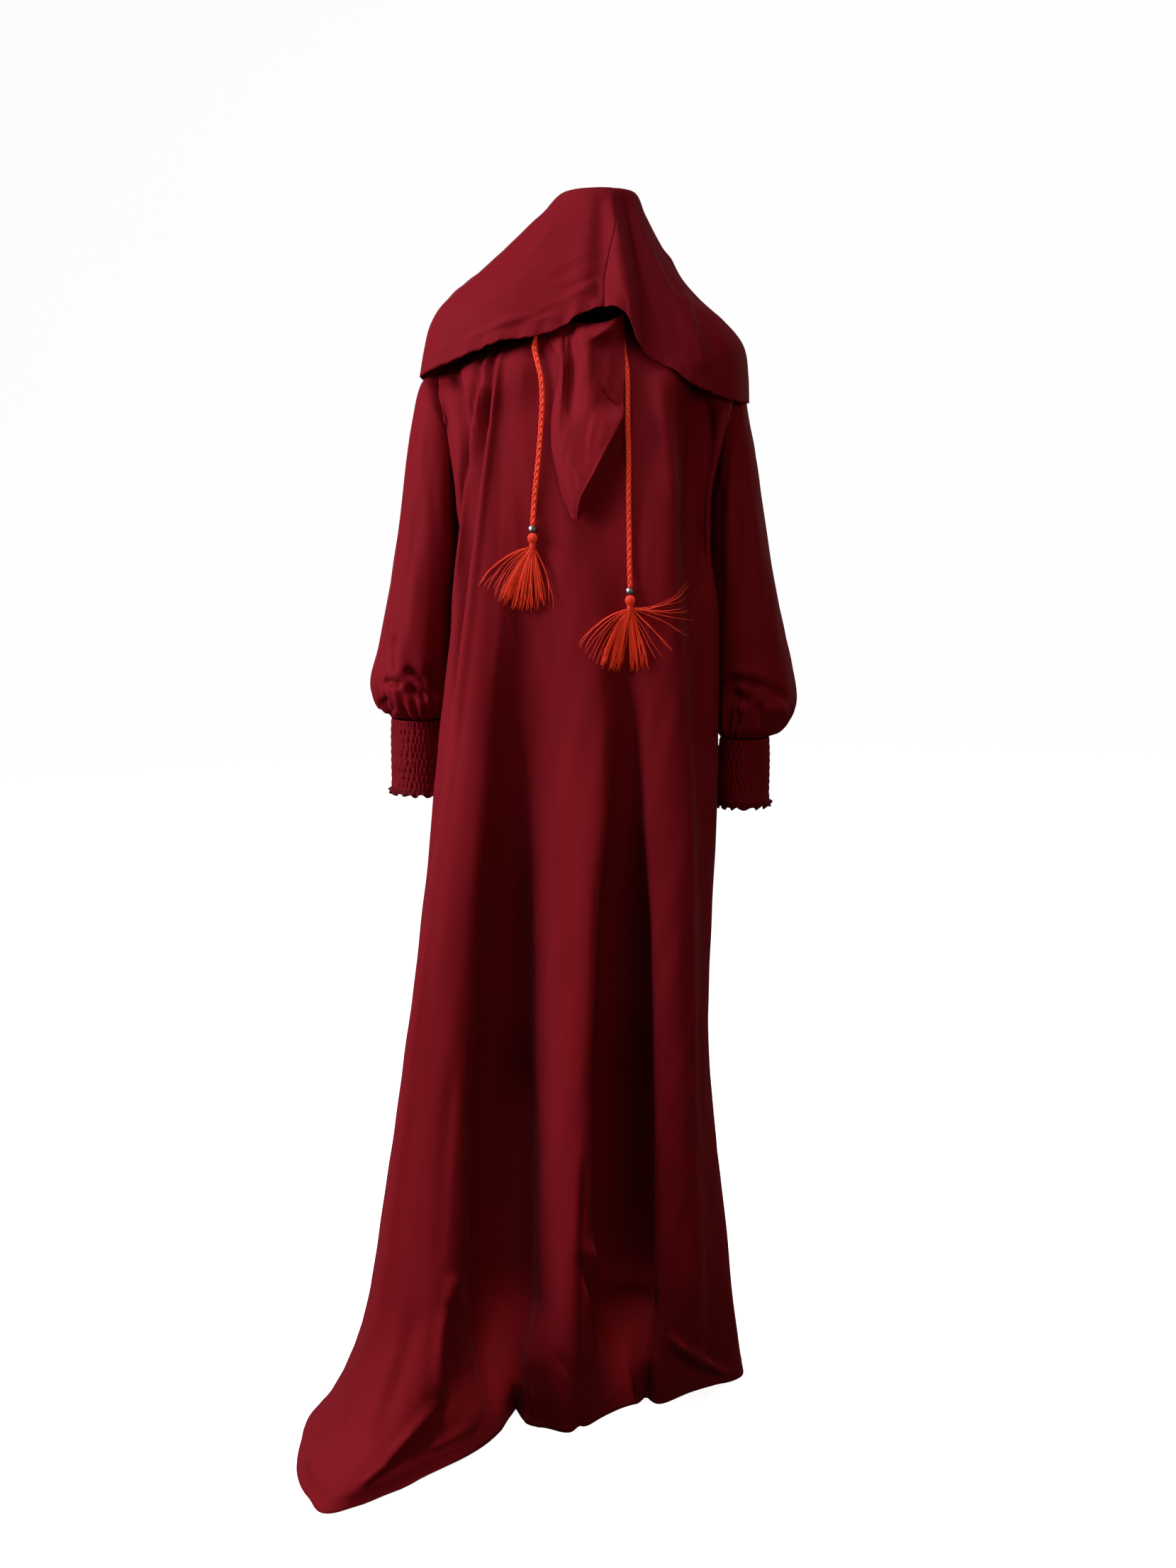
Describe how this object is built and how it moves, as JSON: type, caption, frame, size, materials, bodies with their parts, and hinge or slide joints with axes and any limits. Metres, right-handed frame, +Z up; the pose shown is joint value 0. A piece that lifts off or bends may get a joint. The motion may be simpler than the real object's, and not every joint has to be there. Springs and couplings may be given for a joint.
{
  "type": "hooded prayer dress",
  "caption": "Floor-length hooded prayer dress in its worn, hollow form, with full sleeves, smocked cuffs, a trailing hem and tasselled drawstrings at the neck.",
  "frame": {"origin": "middle of the base of the wearer's neck, on the line of the shoulders", "axes": "+Z up, -Y out of the front, +X towards the wearer's left; the hem lies 1.42 m below the origin"},
  "size_m": [0.6499, 0.5937, 1.601],
  "materials": {
    "crepe": "matt woven crepe with a faint sheen",
    "braid": "glossy braided thread",
    "metal": "polished silver tone"
  },
  "bodies": {
    "root": {"front_panel": "crepe", "back_panel": "crepe", "sleeve_right": "crepe", "sleeve_left": "crepe", "cuff_right": "crepe", "cuff_left": "crepe", "hood_right": "crepe", "hood_left": "crepe", "chin_drape": "crepe", "cord_right": "braid", "cord_left": "braid", "tassel_right": "braid", "tassel_left": "braid", "bead_right": "metal", "bead_left": "metal"}
  },
  "joints": []
}
